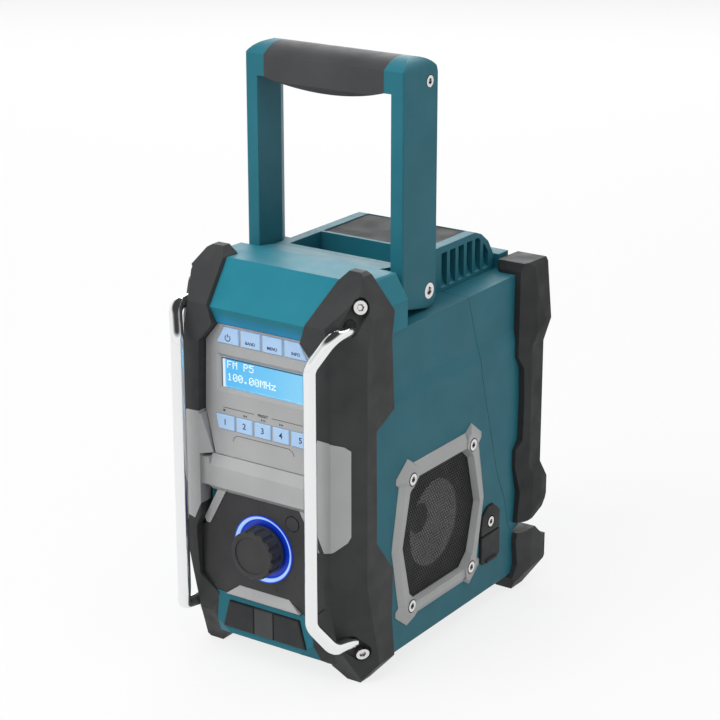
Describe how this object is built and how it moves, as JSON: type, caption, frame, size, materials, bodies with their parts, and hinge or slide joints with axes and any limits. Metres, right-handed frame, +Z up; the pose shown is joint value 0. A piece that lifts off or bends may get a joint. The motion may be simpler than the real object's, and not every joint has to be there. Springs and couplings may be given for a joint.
{
  "type": "jobsite radio",
  "caption": "Battery jobsite radio with a folding handle, side speakers, rubber bumpers, guard bars, buttons, a knob and a rear battery door.",
  "frame": {"origin": "on the ground, in the middle of the footprint box", "axes": "+Z up, -Y is the front with the controls, +X is the right side seen from the front"},
  "size_m": [0.1668, 0.268, 0.4228],
  "materials": {
    "teal_plastic": "fine moulded texture",
    "bumper_rubber": "soft matte",
    "grip_rubber": "soft matte",
    "silver_paint": "silver paint",
    "dark_plastic": "satin",
    "chrome": "polished",
    "steel": "nickel plated",
    "display_glass": "clear",
    "display": "lit light blue",
    "button_blue": "lit pale blue",
    "light_guide": "lit blue",
    "grille_metal": "black",
    "speaker_metal": "black",
    "speaker_paper": "grey paper",
    "electronics": "moulded"
  },
  "bodies": {
    "root": {"main_housing": "teal_plastic", "front_housing": "teal_plastic", "top_pad": "grip_rubber", "display_panel": "silver_paint", "lcd_window": "display_glass", "lcd_module": "display", "silver_frame": "silver_paint", "knob_panel": "dark_plastic", "lower_trim": "silver_paint", "sensor_window": "dark_plastic", "knob_light_ring": "light_guide", "rotary_encoder": "electronics", "circuit_board": "electronics", "tact_switches": "electronics", "port_cover_root": "grip_rubber", "usb_socket": "electronics", "aux_jack": "electronics", "right_front_bumper": "bumper_rubber", "left_front_bumper": "bumper_rubber", "right_guard_bar": "chrome", "left_guard_bar": "chrome", "bumper_screws": "steel", "right_speaker_frame": "silver_paint", "left_speaker_frame": "silver_paint", "speaker_grilles": "grille_metal", "speaker_baskets": "speaker_metal", "speaker_cones": "speaker_paper", "speaker_screws": "steel", "dc_cover_tab": "grip_rubber", "dc_cover_screw": "steel", "dc_jack": "electronics", "handle_pivots": "steel", "door_hinge_pins": "steel", "rear_feet": "bumper_rubber", "battery_terminal": "electronics"},
    "handle": {"right_handle_arm": "teal_plastic", "left_handle_arm": "teal_plastic", "handle_grip": "grip_rubber", "handle_screws": "steel", "wire_aerial": "steel"},
    "battery_door": {"battery_door": "teal_plastic", "right_rear_bumper": "bumper_rubber", "left_rear_bumper": "bumper_rubber", "latch_pin": "steel", "latch_spring": "steel"},
    "door_latch": {"door_latch": "teal_plastic"},
    "encoder_shaft": {"encoder_shaft": "steel"},
    "knob": {"knob": "dark_plastic"},
    "usb_cover": {"usb_cover": "grip_rubber"},
    "aux_cover": {"aux_cover": "grip_rubber"},
    "dc_cover_flap": {"dc_cover_flap": "grip_rubber"},
    "power_button": {"power_button": "button_blue"},
    "mode_button": {"mode_button": "button_blue"},
    "menu_button": {"menu_button": "button_blue"},
    "info_button": {"info_button": "button_blue"},
    "preset_button_1": {"preset_button_1": "button_blue"},
    "preset_button_2": {"preset_button_2": "button_blue"},
    "preset_button_3": {"preset_button_3": "button_blue"},
    "preset_button_4": {"preset_button_4": "button_blue"},
    "preset_button_5": {"preset_button_5": "button_blue"}
  },
  "joints": [
    {"name": "handle_fold", "type": "hinge", "parent": "root", "child": "handle", "pos_m": [0, -0.003, 0.2606], "axis": [-1, 0, 0], "range_deg": [0, 86]},
    {"name": "battery_door_hinge", "type": "hinge", "parent": "root", "child": "battery_door", "pos_m": [0, 0.12, 0.05], "axis": [-1, 0, 0], "range_deg": [0, 90]},
    {"name": "door_latch_pivot", "type": "hinge", "parent": "battery_door", "child": "door_latch", "pos_m": [0, 0.1135, 0.2401], "axis": [-1, 0, 0], "range_deg": [0, 20], "stiffness_Nm_per_rad": 0.2, "springref_deg": -17.19},
    {"name": "knob_press", "type": "slide", "parent": "root", "child": "encoder_shaft", "axis": [0, 1, 0], "range_m": [0, 0.001], "stiffness_N_per_m": 800, "springref_m": -0.002},
    {"name": "knob_turn", "type": "hinge", "parent": "encoder_shaft", "child": "knob", "pos_m": [0, -0.115, 0.0921], "axis": [0, 1, 0], "continuous": true},
    {"name": "usb_cover_hinge", "type": "hinge", "parent": "root", "child": "usb_cover", "pos_m": [-0.0082, -0.1113, 0.036], "axis": [0, 0, 1], "range_deg": [0, 95], "stiffness_Nm_per_rad": 0.004, "springref_deg": -11.46},
    {"name": "aux_cover_hinge", "type": "hinge", "parent": "root", "child": "aux_cover", "pos_m": [0.0082, -0.1113, 0.036], "axis": [0, 0, -1], "range_deg": [0, 95], "stiffness_Nm_per_rad": 0.004, "springref_deg": -11.46},
    {"name": "dc_cover_hinge", "type": "hinge", "parent": "root", "child": "dc_cover_flap", "pos_m": [0.0762, 0.0662, 0.0595], "axis": [0, -1, 0], "range_deg": [0, 120], "stiffness_Nm_per_rad": 0.004, "springref_deg": -11.46},
    {"name": "power_button_travel", "type": "slide", "parent": "root", "child": "power_button", "axis": [0, 1, 0], "range_m": [0, 0.0008], "stiffness_N_per_m": 500, "springref_m": -0.001},
    {"name": "mode_button_travel", "type": "slide", "parent": "root", "child": "mode_button", "axis": [0, 1, 0], "range_m": [0, 0.0008], "stiffness_N_per_m": 500, "springref_m": -0.001},
    {"name": "menu_button_travel", "type": "slide", "parent": "root", "child": "menu_button", "axis": [0, 1, 0], "range_m": [0, 0.0008], "stiffness_N_per_m": 500, "springref_m": -0.001},
    {"name": "info_button_travel", "type": "slide", "parent": "root", "child": "info_button", "axis": [0, 1, 0], "range_m": [0, 0.0008], "stiffness_N_per_m": 500, "springref_m": -0.001},
    {"name": "preset_button_1_travel", "type": "slide", "parent": "root", "child": "preset_button_1", "axis": [0, 1, 0], "range_m": [0, 0.0008], "stiffness_N_per_m": 500, "springref_m": -0.001},
    {"name": "preset_button_2_travel", "type": "slide", "parent": "root", "child": "preset_button_2", "axis": [0, 1, 0], "range_m": [0, 0.0008], "stiffness_N_per_m": 500, "springref_m": -0.001},
    {"name": "preset_button_3_travel", "type": "slide", "parent": "root", "child": "preset_button_3", "axis": [0, 1, 0], "range_m": [0, 0.0008], "stiffness_N_per_m": 500, "springref_m": -0.001},
    {"name": "preset_button_4_travel", "type": "slide", "parent": "root", "child": "preset_button_4", "axis": [0, 1, 0], "range_m": [0, 0.0008], "stiffness_N_per_m": 500, "springref_m": -0.001},
    {"name": "preset_button_5_travel", "type": "slide", "parent": "root", "child": "preset_button_5", "axis": [0, 1, 0], "range_m": [0, 0.0008], "stiffness_N_per_m": 500, "springref_m": -0.001}
  ]
}
